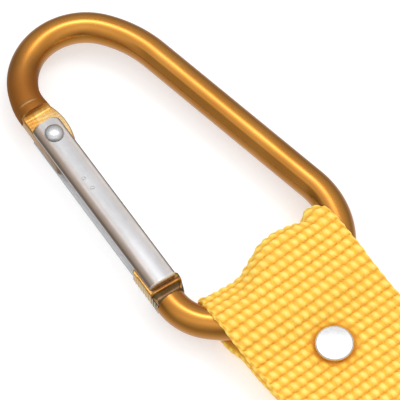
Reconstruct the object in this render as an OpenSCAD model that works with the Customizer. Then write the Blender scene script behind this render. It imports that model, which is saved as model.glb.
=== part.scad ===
// Snap hook with a riveted webbing strap and a split ring.
// The hook lies flat. +Z is square to its plane, +X runs along the closed gate
// towards the strap, +Y runs from the gate to the spine. The origin is the centre
// of the small bow's curve, on the hook's middle plane. Units are millimetres.

/* [Hook rod] */
// diameter of the round rod
rod_d = 5; // [4.6:0.1:5.2]
// centreline radius of the small bow
bow_r = 10; // [9.6:0.1:10.4]
// angle turned by the small bow
bow_turn = 140; // [139:0.5:141]
// centreline radius where the bow runs into the spine
blend_r = 20; // [17:0.5:23]
// angle turned by that blend
blend_turn = 27.5; // [26.5:0.5:28]
// centreline radius of the wide end beside the spine
end_r = 13.8; // [13.4:0.1:14.2]
// angle turned by the wide end
end_turn = 107; // [106:0.5:108]
// centreline radius along the heel of the wide end
heel_r = 21; // [20:0.5:22]
// angle turned by the heel
heel_turn = 38.5; // [37.5:0.5:39.5]
// centreline radius of the bend leading to the nose
toe_r = 8.3; // [8:0.1:8.6]
// how far the nose sits outside the hinge's centreline
nose_drop = 0.6; // [0.3:0.1:0.8]

/* [Hinge and nose] */
// distance from the gate pin back to the milled shoulder
shoulder_back = 5.6; // [5.4:0.1:6]
// thickness of the flat tongues that enter the gate
tongue_t = 2.4; // [2:0.1:2.4]
// how far the hinge tongue reaches past the gate pin
tongue_reach = 5; // [4.6:0.1:5.4]
// distance from the gate's free end to the nose shoulder
nose_gap = 2.5; // [1.8:0.1:2.6]
// how far the nose tongue reaches into the gate
nose_reach = 5.4; // [4:0.1:5.4]

/* [Gate] */
// length of the gate past its pin
gate_len = 31.3; // [30.5:0.1:31.5]
// length of the gate behind its pin
gate_back = 2.7; // [2.2:0.1:2.8]
// height of the channel section
gate_h = 4.9; // [4.8:0.1:5.2]
// width of the channel section
gate_w = 4.75; // [4.6:0.05:4.8]
// radius of the rounded outer shoulders
gate_shoulder = 1.5; // [1:0.1:1.6]
// thickness of the web on the inner side
web_t = 1.1; // [0.8:0.1:1.1]
// diameter of the gate pin's shank
pin_d = 2; // [1.6:0.1:2]
// diameter of the gate pin's domed heads
pin_head_d = 3.05; // [2.6:0.05:3.2]
// height of the gate pin's domed heads
pin_head_h = 0.8; // [0.5:0.1:1]
// diameter of the spring wire
spring_d = 0.8; // [0.6:0.1:0.8]
// free length of the spring wire
spring_len = 12; // [11:0.5:14]

/* [Strap] */
// width of the webbing
strap_w = 25; // [24:0.5:25]
// thickness of the webbing
strap_t = 1.2; // [1:0.1:1.4]
// distance from the hook's end to the first rivet
rivet_gap = 6.2; // [6.2:0.1:8]
// spacing of the two strap rivets
rivet_pitch = 26.3; // [24.1:0.1:34.6]
// how far the first rivet sits off the band's middle
rivet_side = 0.5; // [0:0.1:0.8]
// depth of the fold inside the hook, from the hook's end
fold_depth = 13.8; // [13:0.1:14]
// gap between the strip's two cut ends on the back
cut_gap = 1.6; // [0.5:0.1:4]
// diameter of the rivet caps
cap_d = 6; // [5:0.1:7]
// height of the domed rivet caps
cap_h = 0.7; // [0.6:0.1:1.4]
// diameter of the rivet posts
post_d = 2.4; // [2:0.1:3]

/* [Split ring] */
// outside diameter of the ring
ring_d = 32; // [31:0.5:34]
// radial width of the flattened wire
ring_wire_w = 2; // [1.6:0.1:2]
// thickness of one coil
ring_wire_t = 1.3; // [1:0.05:1.4]

/* [Hidden] */
$fn = 96;
gold = [0.85, 0.55, 0.2];
silver = [0.8, 0.8, 0.82];
steel = [0.75, 0.75, 0.77];
yellow = [0.95, 0.76, 0.3];
rod_r = rod_d / 2;
seam = 0.05; // straight stretches of rod stop this far short of a joint
clear = 0.05; // clearance between a tongue and the gate

// centre of an arc that leaves start on a heading and turns right
function arc_mid(start, heading, radius) = start + radius * [sin(heading), -cos(heading)];
// end point of the same arc after turning through turn degrees
function arc_end(start, heading, radius, turn) =
    arc_mid(start, heading, radius) - radius * [sin(heading - turn), -cos(heading - turn)];

// the rod's centreline, starting behind the hinge and running round to the nose
bow_heading = 180;
blend_heading = bow_heading - bow_turn;
spine_heading = blend_heading - blend_turn;
heel_heading = spine_heading - end_turn;
toe_heading = heel_heading - heel_turn;
nose_heading = -180;
toe_turn = toe_heading - nose_heading;
hinge_root = 1; // straight rod behind the shoulder
bow_start = [-shoulder_back - hinge_root, 0];
blend_start = arc_end(bow_start, bow_heading, bow_r, bow_turn);
spine_start = arc_end(blend_start, blend_heading, blend_r, blend_turn);
// rise in Y over the wide end, heel and toe; the spine's length makes up the rest
wide_rise = arc_end([0, 0], spine_heading, end_r, end_turn)[1]
    + arc_end([0, 0], heel_heading, heel_r, heel_turn)[1]
    + arc_end([0, 0], toe_heading, toe_r, toe_turn)[1];
spine_len = (-nose_drop - spine_start[1] - wide_rise) / sin(spine_heading);
spine_dir = [cos(spine_heading), sin(spine_heading)];
end_start = spine_start + spine_len * spine_dir;
heel_start = arc_end(end_start, spine_heading, end_r, end_turn);
toe_start = arc_end(heel_start, heel_heading, heel_r, heel_turn);
toe_end = arc_end(toe_start, toe_heading, toe_r, toe_turn);
bow_mid = arc_mid(bow_start, bow_heading, bow_r);
end_mid = arc_mid(end_start, spine_heading, end_r);
nose_x = gate_len + nose_gap;

// gate walls and web
gate_out = -gate_w / 2 - 0.175;
gate_in = gate_out + gate_w;
slot_h = tongue_t + 2 * clear;
web_y = gate_in - web_t;
web_start = 3.2;
web_end = gate_len - 1;
spring_x = 2.1;
spring_y = 0.45;
crimp_xs = [9.5, 11.6];
crimp_y = -0.45;

// strap and ring stations along X; fold radii are those of the strap's inner face
hook_end = end_mid[0] + end_r + rod_r;
strap_y = end_mid[1] - 0.5;
strap_rivet = [hook_end + rivet_gap, strap_y + rivet_side];
ring_rivet = [hook_end + rivet_gap + rivet_pitch, strap_y];
hook_fold_r = rod_r + 0.12;
hook_fold_x = hook_end - fold_depth + hook_fold_r + strap_t;
ring_fold_r = ring_wire_t + 0.15;
ring_r = ring_d / 2;
ring_bore = ring_r - ring_wire_w;
ring_x = ring_rivet[0] + cap_d / 2 + 3.6 + ring_r;
// the ring's bore crosses the strap's edges just beyond this fold
ring_fold_x = ring_x - sqrt(ring_bore * ring_bore - strap_w * strap_w / 4) - 0.55;
// the two layers lie together from flat_start to flat_end
flat_margin = 3;
flat_start = strap_rivet[0] - flat_margin;
flat_end = ring_rivet[0] + flat_margin;
face_z = strap_t + 0.02; // strap face that a rivet cap sits on

// moves the small bow's centre to the origin
module place() translate([-bow_mid[0], -bow_mid[1], 0]) children();

// cylinder along Z, long enough to pierce any piece
module through_hole(d) translate([0, 0, -5]) cylinder(d = d, h = 10);

// shallow dome of diameter d and height h standing on z = 0
module dome(d, h) {
    sphere_r = (d * d / 4 + h * h) / (2 * h);
    intersection() {
        translate([0, 0, h - sphere_r]) sphere(r = sphere_r);
        cylinder(d = d, h = h);
    }
}

// rivet head: a dome on a straight rim, h high in all
module head(d, h, rim) {
    translate([0, 0, rim]) dome(d, h - rim);
    cylinder(d = d, h = rim);
}

// one curved stretch of rod, a hair short at both ends
module bend(start, heading, turn_r, turn, radius = rod_r) {
    mid = arc_mid(start, heading, turn_r);
    trim = 3 / turn_r;
    translate([mid[0], mid[1], 0])
        rotate([0, 0, heading + 90 - turn + trim])
            rotate_extrude(angle = turn - 2 * trim) translate([turn_r, 0]) circle(r = radius);
}

// one straight stretch of rod
module straight(start, heading, length)
    translate([start[0], start[1], 0]) rotate([0, 0, heading])
        rotate([0, 90, 0]) cylinder(r = rod_r, h = length);

// collar that joins two stretches of rod, slightly proud of them
module collar(at, heading, radius = rod_r)
    translate([at[0], at[1], 0]) rotate([0, 0, heading]) translate([-0.25, 0, 0])
        rotate([0, 90, 0]) cylinder(r = radius + 0.02, h = 0.5);

// the curves from the spine to the nose, which pass through the strap's fold
module wide_end(radius) {
    bend(end_start, spine_heading, end_r, end_turn, radius);
    collar(heel_start, heel_heading, radius);
    bend(heel_start, heel_heading, heel_r, heel_turn, radius);
    collar(toe_start, toe_heading, radius);
    bend(toe_start, toe_heading, toe_r, toe_turn, radius);
}

module rod() {
    straight([-shoulder_back, 0], bow_heading, hinge_root - seam);
    collar(bow_start, bow_heading);
    bend(bow_start, bow_heading, bow_r, bow_turn);
    collar(blend_start, blend_heading);
    bend(blend_start, blend_heading, blend_r, blend_turn);
    collar(spine_start, spine_heading);
    straight(spine_start + seam * spine_dir, spine_heading, spine_len - 2 * seam);
    collar(end_start, spine_heading);
    wide_end(rod_r);
    collar(toe_end, 180);
    if (toe_end[0] > nose_x + 0.1)
        straight([nose_x, -nose_drop], 0, toe_end[0] - nose_x - seam);
}

// short rod along X, cut to a flat-faced thickness by a box that starts at box_x
module flattened(start, length, box_x, thickness) intersection() {
    straight(start, 0, length);
    translate([box_x, -5, -thickness / 2]) cube([3, 10, thickness]);
}

// flat plate of tongue thickness on the middle plane
module tongue() translate([0, 0, -tongue_t / 2]) linear_extrude(tongue_t) children();

// outline of the hinge tongue, seen from above
module hinge_outline() {
    tip_r = 0.8;
    root_x = -shoulder_back - 0.4;
    root_y = 3.5;
    outer_tip = [tongue_reach - tip_r, -rod_r + tip_r];
    inner_tip = [1.35, 1.98];
    edge = inner_tip - outer_tip;
    // from a tip's centre out to the slanted edge
    offset_to_edge = tip_r * [edge[1], -edge[0]] / norm(edge);
    intersection() {
        union() {
            polygon([[root_x, -rod_r], [outer_tip[0], -rod_r], outer_tip + offset_to_edge,
                inner_tip + offset_to_edge, [inner_tip[0], inner_tip[1] + tip_r],
                [inner_tip[0] - 1, root_y], [root_x, root_y]]);
            translate(outer_tip) circle(r = tip_r);
            translate(inner_tip) circle(r = tip_r);
        }
        // large circle that rounds the inner edge
        translate([-1.7, -6.95]) circle(r = 10.2);
    }
}

// outline of the nose tongue, seen from above
module nose_outline() {
    outer_y = -rod_r - nose_drop + 0.1; // just inside the rod's outer line
    stop_y = web_y - clear;
    tip_x = gate_len - nose_reach;
    tip_r = 0.9;
    stop_r = 0.7;
    stop_x = tip_x + 2.1;
    root_x = nose_x + 0.3;
    translate([tip_x + tip_r, outer_y + tip_r]) circle(r = tip_r);
    translate([stop_x, stop_y - stop_r]) circle(r = stop_r);
    polygon([[tip_x + tip_r, outer_y], [root_x, outer_y], [root_x, stop_y], [stop_x, stop_y],
        [stop_x - stop_r, stop_y - stop_r], [tip_x, outer_y + tip_r]]);
    // lobe that passes through the end of the web
    lobe_r = 0.75;
    lobe_x = web_end + 0.9;
    lobe_y = 2.1;
    translate([lobe_x, 0]) square([nose_x - lobe_x, lobe_y]);
    translate([lobe_x, lobe_y]) circle(r = lobe_r);
    translate([lobe_x, lobe_y]) square([nose_x - lobe_x - 0.7, lobe_r]);
    translate([lobe_x - lobe_r, stop_y]) square([1, lobe_y - stop_y]);
}

module hook_body() color(gold) place() difference() {
    union() {
        rod();
        // hinge tongue and its stepped shoulder
        tongue() hinge_outline();
        flattened([-shoulder_back - 0.5, 0], length = 1.4,
            box_x = -shoulder_back - 1, thickness = 3.5);
        // nose tongue and the thin ridge beside the gate's end
        tongue() nose_outline();
        flattened([gate_len + 0.55, -nose_drop / 2], length = 0.3,
            box_x = gate_len, thickness = 3.6);
    }
    through_hole(pin_d + 0.06);
    // blind seat for the spring wire
    translate([spring_x - 0.1, spring_y, 0]) rotate([0, 90, 0])
        cylinder(d = spring_d + 0.1, h = 6);
}

// channel section in the YZ plane, drawn as X = Y and Y = Z
module gate_section() {
    web_edge_r = 0.35;
    difference() {
        union() {
            translate([gate_out + gate_shoulder, -gate_h / 2])
                square([gate_w - gate_shoulder - web_edge_r, gate_h]);
            translate([gate_out, -gate_h / 2 + gate_shoulder])
                square([gate_w, gate_h - 2 * gate_shoulder]);
            translate([gate_in - 1, -gate_h / 2 + web_edge_r])
                square([1, gate_h - 2 * web_edge_r]);
            for (side = [-1, 1]) {
                translate([gate_out + gate_shoulder, side * (gate_h / 2 - gate_shoulder)])
                    circle(r = gate_shoulder);
                translate([gate_in - web_edge_r, side * (gate_h / 2 - web_edge_r)])
                    circle(r = web_edge_r);
            }
        }
        translate([gate_out - 1, -slot_h / 2]) square([web_y - gate_out + 1, slot_h]);
    }
}

// outline of the gate seen from above, with eased corners
module gate_outline() {
    back_r = 1.3;
    free_r = 0.4;
    translate([-gate_back, gate_out + back_r])
        square([gate_len + gate_back - free_r, gate_w - 2 * back_r]);
    translate([-gate_back + back_r, gate_out])
        square([gate_len + gate_back - back_r - free_r, gate_w]);
    translate([gate_len - 2, gate_out + free_r]) square([2, gate_w - 2 * free_r]);
    // each row: corner's circle centre X, radius
    for (corner = [[-gate_back + back_r, back_r], [gate_len - free_r, free_r]])
        for (y = [gate_out + corner[1], gate_in - corner[1]])
            translate([corner[0], y]) circle(r = corner[1]);
}

// repeats at every crimp, at heights z and -z
module at_crimps(z) for (x = crimp_xs) for (side = [-1, 1])
    translate([x, crimp_y, side * z]) children();

// opening through the web, the full height of the slot
module web_cut(x, length)
    translate([x, web_y - 0.5, -slot_h / 2]) cube([length, web_t + 2, slot_h]);

module gate() color(silver) place() difference() {
    union() {
        intersection() {
            translate([-gate_back - 1, 0, 0]) rotate([90, 0, 90])
                linear_extrude(gate_len + gate_back + 2) gate_section();
            translate([0, 0, -5]) linear_extrude(10) gate_outline();
        }
        // crimped studs that trap the spring wire against the web
        at_crimps(slot_h / 2 + 0.05) translate([0, 0, -0.3]) cylinder(r = 0.4, h = 0.6);
    }
    // the web stops short of the hinge and of the nose lobe
    web_cut(-gate_back - 1, web_start + gate_back + 1);
    web_cut(web_end, 3);
    // dimples left by the crimp
    at_crimps(gate_h / 2 + 0.35) sphere(r = 0.5, $fn = 32);
    through_hole(pin_d + 0.02);
}

module gate_rivet() color(steel) place() {
    seat_z = gate_h / 2 + 0.01;
    translate([0, 0, -seat_z]) cylinder(d = pin_d, h = 2 * seat_z);
    for (flip = [0, 180]) rotate([flip, 0, 0]) translate([0, 0, seat_z])
        head(pin_head_d, pin_head_h, rim = 0.15);
}

module gate_spring() color(steel) place()
    translate([spring_x, spring_y, 0]) rotate([0, 90, 0]) cylinder(d = spring_d, h = spring_len);

// runs a side view, drawn as X = X and Y = Z, across the strap's width
module across() translate([0, strap_y + strap_w / 2, 0]) rotate([90, 0, 0])
    linear_extrude(strap_w) children();

// the band's side view: a lobe round the hook's rod and a lobe round the ring,
// each tapering to flat_z above and below the middle plane
module band(hook_lobe_r, ring_lobe_r, flat_z) {
    hook_taper_x = hook_end - rod_r;
    ring_taper_x = flat_end + 2.6;
    across() translate([hook_fold_x, 0]) circle(r = hook_lobe_r);
    across() polygon([[hook_fold_x, hook_lobe_r], [hook_taper_x, hook_lobe_r],
        [flat_start, flat_z], [flat_start, -flat_z],
        [hook_taper_x, -hook_lobe_r], [hook_fold_x, -hook_lobe_r]]);
    across() translate([ring_fold_x, 0]) circle(r = ring_lobe_r);
    across() polygon([[flat_end, flat_z], [ring_taper_x, ring_lobe_r],
        [ring_fold_x, ring_lobe_r], [ring_fold_x, -ring_lobe_r],
        [ring_taper_x, -ring_lobe_r], [flat_end, -flat_z]]);
}

module strap() color(yellow) place() difference() {
    union() {
        band(hook_fold_r + strap_t, ring_fold_r + strap_t, strap_t);
        across() translate([flat_start - 0.5, -strap_t])
            square([flat_end - flat_start + 1, 2 * strap_t]);
    }
    band(hook_fold_r, ring_fold_r, 0.02);
    // the strip's two cut ends face each other on the back
    across() translate([(flat_start + flat_end) / 2 - cut_gap / 2, -strap_t - 1])
        square([cut_gap, strap_t + 1]);
    wide_end(rod_r + 0.1);
    for (at = [strap_rivet, ring_rivet])
        translate([at[0], at[1], 0]) through_hole(post_d + 0.1);
}

module cap_head() head(cap_d, cap_h, rim = 0.25);

// front cap with a blind socket for the post
module rivet_cap(at) color(steel) place() translate([at[0], at[1], face_z]) difference() {
    cap_head();
    translate([0, 0, -1]) cylinder(d = post_d + 0.04, h = 1 + cap_h * 0.55);
}

// matching cap on the back with the post that passes through both layers
module rivet_post(at) color(steel) place() translate([at[0], at[1], -face_z]) {
    rotate([180, 0, 0]) cap_head();
    cylinder(d = post_d, h = 2 * face_z + cap_h * 0.5);
}

module strap_rivet_cap() rivet_cap(strap_rivet);
module strap_rivet_post() rivet_post(strap_rivet);
module ring_rivet_cap() rivet_cap(ring_rivet);
module ring_rivet_post() rivet_post(ring_rivet);

// one coil of flattened wire standing on z
module coil(start_angle, z) {
    edge_r = 0.35;
    translate([0, 0, z]) rotate([0, 0, start_angle])
        rotate_extrude(angle = 348) translate([ring_bore, 0]) {
            translate([edge_r, 0]) square([ring_wire_w - 2 * edge_r, ring_wire_t]);
            translate([0, edge_r]) square([ring_wire_w, ring_wire_t - 2 * edge_r]);
            for (x = [edge_r, ring_wire_w - edge_r]) for (y = [edge_r, ring_wire_t - edge_r])
                translate([x, y]) circle(r = edge_r, $fn = 24);
        }
}

module split_ring() color(steel) place() translate([ring_x, strap_y, 0]) {
    half_gap = 0.03;
    inset = 0.1;
    coil(6, half_gap);
    coil(20, -ring_wire_t - half_gap);
    // crossover block that joins the lower coil to the upper one
    rotate([0, 0, 4]) rotate_extrude(angle = 14)
        translate([ring_bore + inset, inset - ring_wire_t])
            square([ring_wire_w - 2 * inset, 2 * ring_wire_t - 2 * inset]);
}

hook_body();
gate();
gate_rivet();
gate_spring();
strap();
strap_rivet_cap();
strap_rivet_post();
ring_rivet_cap();
ring_rivet_post();
split_ring();
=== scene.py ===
"""Carabiner key holder: a gold hook with a spring gate, a yellow webbing strap and a split ring.

Pieces are drawn in millimetres with the gate pin at (0, 0, 0). X runs along the gate from the
hinge to the nose and on to the split ring, Y runs from the gate towards the hook's spine, and
Z is up, out of the floor the hook lies on. `metres` moves a drawing into the scene, whose
origin is the centre of the hook's small bow.
"""
import math

import bmesh
import bpy
import numpy as np
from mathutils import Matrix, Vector


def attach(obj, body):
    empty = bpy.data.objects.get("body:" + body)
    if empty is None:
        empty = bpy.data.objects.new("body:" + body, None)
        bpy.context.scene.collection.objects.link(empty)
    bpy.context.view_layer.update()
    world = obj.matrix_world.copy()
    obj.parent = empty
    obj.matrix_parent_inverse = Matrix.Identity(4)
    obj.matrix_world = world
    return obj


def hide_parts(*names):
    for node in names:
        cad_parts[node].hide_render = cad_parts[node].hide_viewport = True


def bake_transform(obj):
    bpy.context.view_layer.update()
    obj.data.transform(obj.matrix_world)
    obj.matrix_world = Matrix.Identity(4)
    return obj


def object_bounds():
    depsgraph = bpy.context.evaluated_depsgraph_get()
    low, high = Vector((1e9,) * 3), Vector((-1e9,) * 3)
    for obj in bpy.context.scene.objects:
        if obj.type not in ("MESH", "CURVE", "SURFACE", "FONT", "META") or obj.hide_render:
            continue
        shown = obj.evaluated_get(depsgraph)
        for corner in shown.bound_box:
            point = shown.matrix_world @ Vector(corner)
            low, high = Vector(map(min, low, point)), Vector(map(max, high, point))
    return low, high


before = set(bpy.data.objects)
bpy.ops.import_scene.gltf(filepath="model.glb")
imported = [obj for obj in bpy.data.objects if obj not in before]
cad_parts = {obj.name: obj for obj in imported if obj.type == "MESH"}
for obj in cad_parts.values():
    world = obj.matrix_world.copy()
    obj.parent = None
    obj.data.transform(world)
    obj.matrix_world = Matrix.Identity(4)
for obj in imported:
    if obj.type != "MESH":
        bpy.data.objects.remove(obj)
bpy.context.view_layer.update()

# ---------------------------------------------------------------- driving dimensions, mm
MILLIMETRE = 0.001
ROD_R = 2.5
SHOULDER = -5.6       # X where the round rod starts behind the hinge
LEAD = 1.0            # straight rod between the shoulder and the small bow
BOW_R = 10.0          # small bow, centreline
BOW_CENTRE = np.array([SHOULDER - LEAD, BOW_R, 0.0])
TONGUE = 1.2          # half thickness of the milled flats
NOSE_DROP = 0.6       # the nose's centreline lies this far out of the hinge's
NOSE_X = 33.8         # X where the round rod ends at the nose
GATE_LEN = 31.3       # pin to the gate's free end
PIN_R = 1.0
SPRING_Y = 0.45       # centreline of the spring wire


# ---------------------------------------------------------------- mesh helpers
def metres(points):
    """Drawing millimetres to scene metres, always as rows of XYZ."""
    return (np.asarray(points, float).reshape(-1, 3) - BOW_CENTRE) * MILLIMETRE


def make(name, verts, faces, shade_smooth=True):
    mesh = bpy.data.meshes.new(name)
    mesh.from_pydata([tuple(p) for p in metres(verts)], [],
                     [tuple(int(i) for i in face) for face in faces])
    mesh.validate()
    mesh.update()
    obj = bpy.data.objects.new(name, mesh)
    bpy.context.scene.collection.objects.link(obj)
    if shade_smooth:
        mesh.polygons.foreach_set("use_smooth", [True] * len(mesh.polygons))
    return obj


def grid_faces(rows, columns, wrap=False, flip=False, base=0):
    """Quads over a grid of vertices; wrap closes each row into a ring."""
    faces = []
    for i in range(rows - 1):
        for j in range(columns if wrap else columns - 1):
            a = base + i * columns + j
            b = a + columns
            c = base + (i + 1) * columns + (j + 1) % columns
            d = base + i * columns + (j + 1) % columns
            faces.append((a, d, c, b) if flip else (a, b, c, d))
    return faces


def skin(name, rings, flip=False):
    """Closed tube over a list of equal rings of points."""
    rings = np.asarray(rings, float)
    rows, columns = rings.shape[:2]
    first = tuple(range(columns))
    last = tuple(range((rows - 1) * columns, rows * columns))
    caps = [first[::-1], last] if flip else [first, last[::-1]]
    return make(name, rings.reshape(-1, 3), grid_faces(rows, columns, wrap=True, flip=flip) + caps)


def join(name, objects):
    bpy.ops.object.select_all(action="DESELECT")
    for obj in objects:
        obj.select_set(True)
    bpy.context.view_layer.objects.active = objects[0]
    bpy.ops.object.join()
    objects[0].name = name
    objects[0].data.name = name
    return objects[0]


def apply_modifiers(obj):
    depsgraph = bpy.context.evaluated_depsgraph_get()
    mesh = bpy.data.meshes.new_from_object(obj.evaluated_get(depsgraph))
    obj.modifiers.clear()
    old = obj.data
    obj.data = mesh
    bpy.data.meshes.remove(old)


def cut(obj, tool):
    """Takes the tool away from obj and deletes it."""
    boolean = obj.modifiers.new("cut", "BOOLEAN")
    boolean.operation = "DIFFERENCE"
    boolean.solver = "EXACT"
    boolean.object = tool
    apply_modifiers(obj)
    bpy.data.objects.remove(tool)


def normals_out(obj):
    mesh = bmesh.new()
    mesh.from_mesh(obj.data)
    bmesh.ops.recalc_face_normals(mesh, faces=mesh.faces)
    mesh.to_mesh(obj.data)
    mesh.free()
    return obj


def dress(obj, degrees, material):
    """Smooth shading that breaks at edges steeper than degrees, and the only material."""
    mesh = bmesh.new()
    mesh.from_mesh(obj.data)
    limit = math.radians(degrees)
    for edge in mesh.edges:
        edge.smooth = not (len(edge.link_faces) == 2 and edge.calc_face_angle(0.0) > limit)
    for face in mesh.faces:
        face.smooth = True
    mesh.to_mesh(obj.data)
    mesh.free()
    obj.data.materials.clear()
    obj.data.materials.append(material)


def attribute(obj, name, values, kind="FLOAT"):
    layer = obj.data.attributes.new(name, kind, "POINT")
    field = "value" if kind == "FLOAT" else "vector"
    layer.data.foreach_set(field, np.asarray(values, np.float32).ravel())


def smooth(low, high, x):
    """0 below low, 1 above high, with an S-curve between."""
    share = np.clip((np.asarray(x, float) - low) / (high - low), 0, 1)
    return share * share * (3 - 2 * share)


def arc(centre, radii, start, end, count, first=0):
    """Points first..count of an elliptical arc between two angles in degrees."""
    points = []
    for k in range(first, count + 1):
        angle = math.radians(start + (end - start) * k / count)
        points.append((centre[0] + radii[0] * math.cos(angle),
                       centre[1] + radii[1] * math.sin(angle)))
    return points


def run_length(points):
    """Distance along a line at each of its points."""
    steps = np.linalg.norm(np.diff(points, axis=0), axis=1)
    return np.concatenate([[0], np.cumsum(steps)])


def unit_normals(edges):
    normals = np.stack([-edges[:, 1], edges[:, 0]], 1)
    return normals / np.maximum(np.linalg.norm(edges, axis=1), 1e-9)[:, None]


def inset(outline, distance):
    """A closed anticlockwise outline moved inwards."""
    before = unit_normals(outline - np.roll(outline, 1, 0))
    after = unit_normals(np.roll(outline, -1, 0) - outline)
    normal = before + after
    normal /= np.maximum(np.linalg.norm(normal, axis=1), 1e-9)[:, None]
    miter = 1 / np.clip((normal * before).sum(1), 0.5, 1)
    return outline + normal * (distance * miter)[:, None]


def plate(name, outline, half, ease, steps):
    """A flat plate with eased edges: outline in XY, thickness from -half to half in Z."""
    outline = np.asarray(outline, float)
    x, y = outline.T
    if np.sum(x * np.roll(y, -1) - np.roll(x, -1) * y) <= 0:
        outline = outline[::-1]
    rings = []
    for k in range(steps + 1):
        turn = math.pi / 2 * k / steps
        rings.append((ease * (1 - math.sin(turn)), -half + ease * (1 - math.cos(turn))))
    for k in range(steps + 1):
        turn = math.pi / 2 * k / steps
        rings.append((ease * (1 - math.cos(turn)), half - ease * (1 - math.sin(turn))))
    rings = [np.column_stack([inset(outline, d), np.full(len(outline), z)]) for d, z in rings]
    return skin(name, rings, flip=True)


def round_poly(corners, steps):
    """Closed outline from (x, y, corner radius) entries."""
    outline = []
    count = len(corners)
    for i in range(count):
        before, here, after = (np.array(corners[(i + k) % count][:2], float) for k in (-1, 0, 1))
        radius = corners[i][2]
        back = (before - here) / np.linalg.norm(before - here)
        ahead = (after - here) / np.linalg.norm(after - here)
        half = math.acos(max(-1, min(1, float(back @ ahead)))) / 2
        if radius < 1e-6 or half > 1.55:
            outline.append(here)
            continue
        reach = radius / math.tan(half)
        middle = (back + ahead) / np.linalg.norm(back + ahead)
        centre = here + middle * (radius / math.sin(half))
        start = math.atan2(*(here + back * reach - centre)[::-1])
        end = math.atan2(*(here + ahead * reach - centre)[::-1])
        sweep = (end - start + math.pi) % (2 * math.pi) - math.pi
        for k in range(steps + 1):
            angle = start + sweep * k / steps
            outline.append(centre + radius * np.array([math.cos(angle), math.sin(angle)]))
    return np.array(outline)


def cylinder(name, centre, axis, radius, length, count):
    turn = Vector(axis).normalized().to_track_quat("Z", "Y").to_matrix()
    rings = []
    for z in (-length / 2, length / 2):
        ring = []
        for k in range(count):
            angle = 2 * math.pi * k / count
            spoke = Vector((radius * math.cos(angle), radius * math.sin(angle), z))
            ring.append(tuple(Vector(centre) + turn @ spoke))
        rings.append(ring)
    return skin(name, rings, flip=True)


def block(name, low, high):
    verts = [(x, y, z) for x in (low[0], high[0]) for y in (low[1], high[1])
             for z in (low[2], high[2])]
    faces = [(0, 1, 3, 2), (4, 6, 7, 5), (0, 4, 5, 1), (2, 3, 7, 6), (0, 2, 6, 4), (1, 5, 7, 3)]
    return make(name, verts, faces, shade_smooth=False)


def lathe(name, profile, count, centre=(0, 0)):
    """Solid of revolution about Z through centre from (radius, z) points, closed on the axis."""
    verts, rings = [], []
    for radius, z in profile:
        if radius < 1e-6:
            rings.append([len(verts)] * count)
            verts.append((centre[0], centre[1], z))
            continue
        rings.append(list(range(len(verts), len(verts) + count)))
        for k in range(count):
            angle = 2 * math.pi * k / count
            verts.append((centre[0] + radius * math.cos(angle),
                          centre[1] + radius * math.sin(angle), z))
    faces = []
    for a, b in zip(rings[:-1], rings[1:]):
        for k in range(count):
            after = (k + 1) % count
            # a ring on the axis is one vertex, so its repeats drop out
            corners = tuple(dict.fromkeys([a[k], a[after], b[after], b[k]]))
            if len(corners) > 2:
                faces.append(corners)
    return normals_out(make(name, verts, faces))


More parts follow.
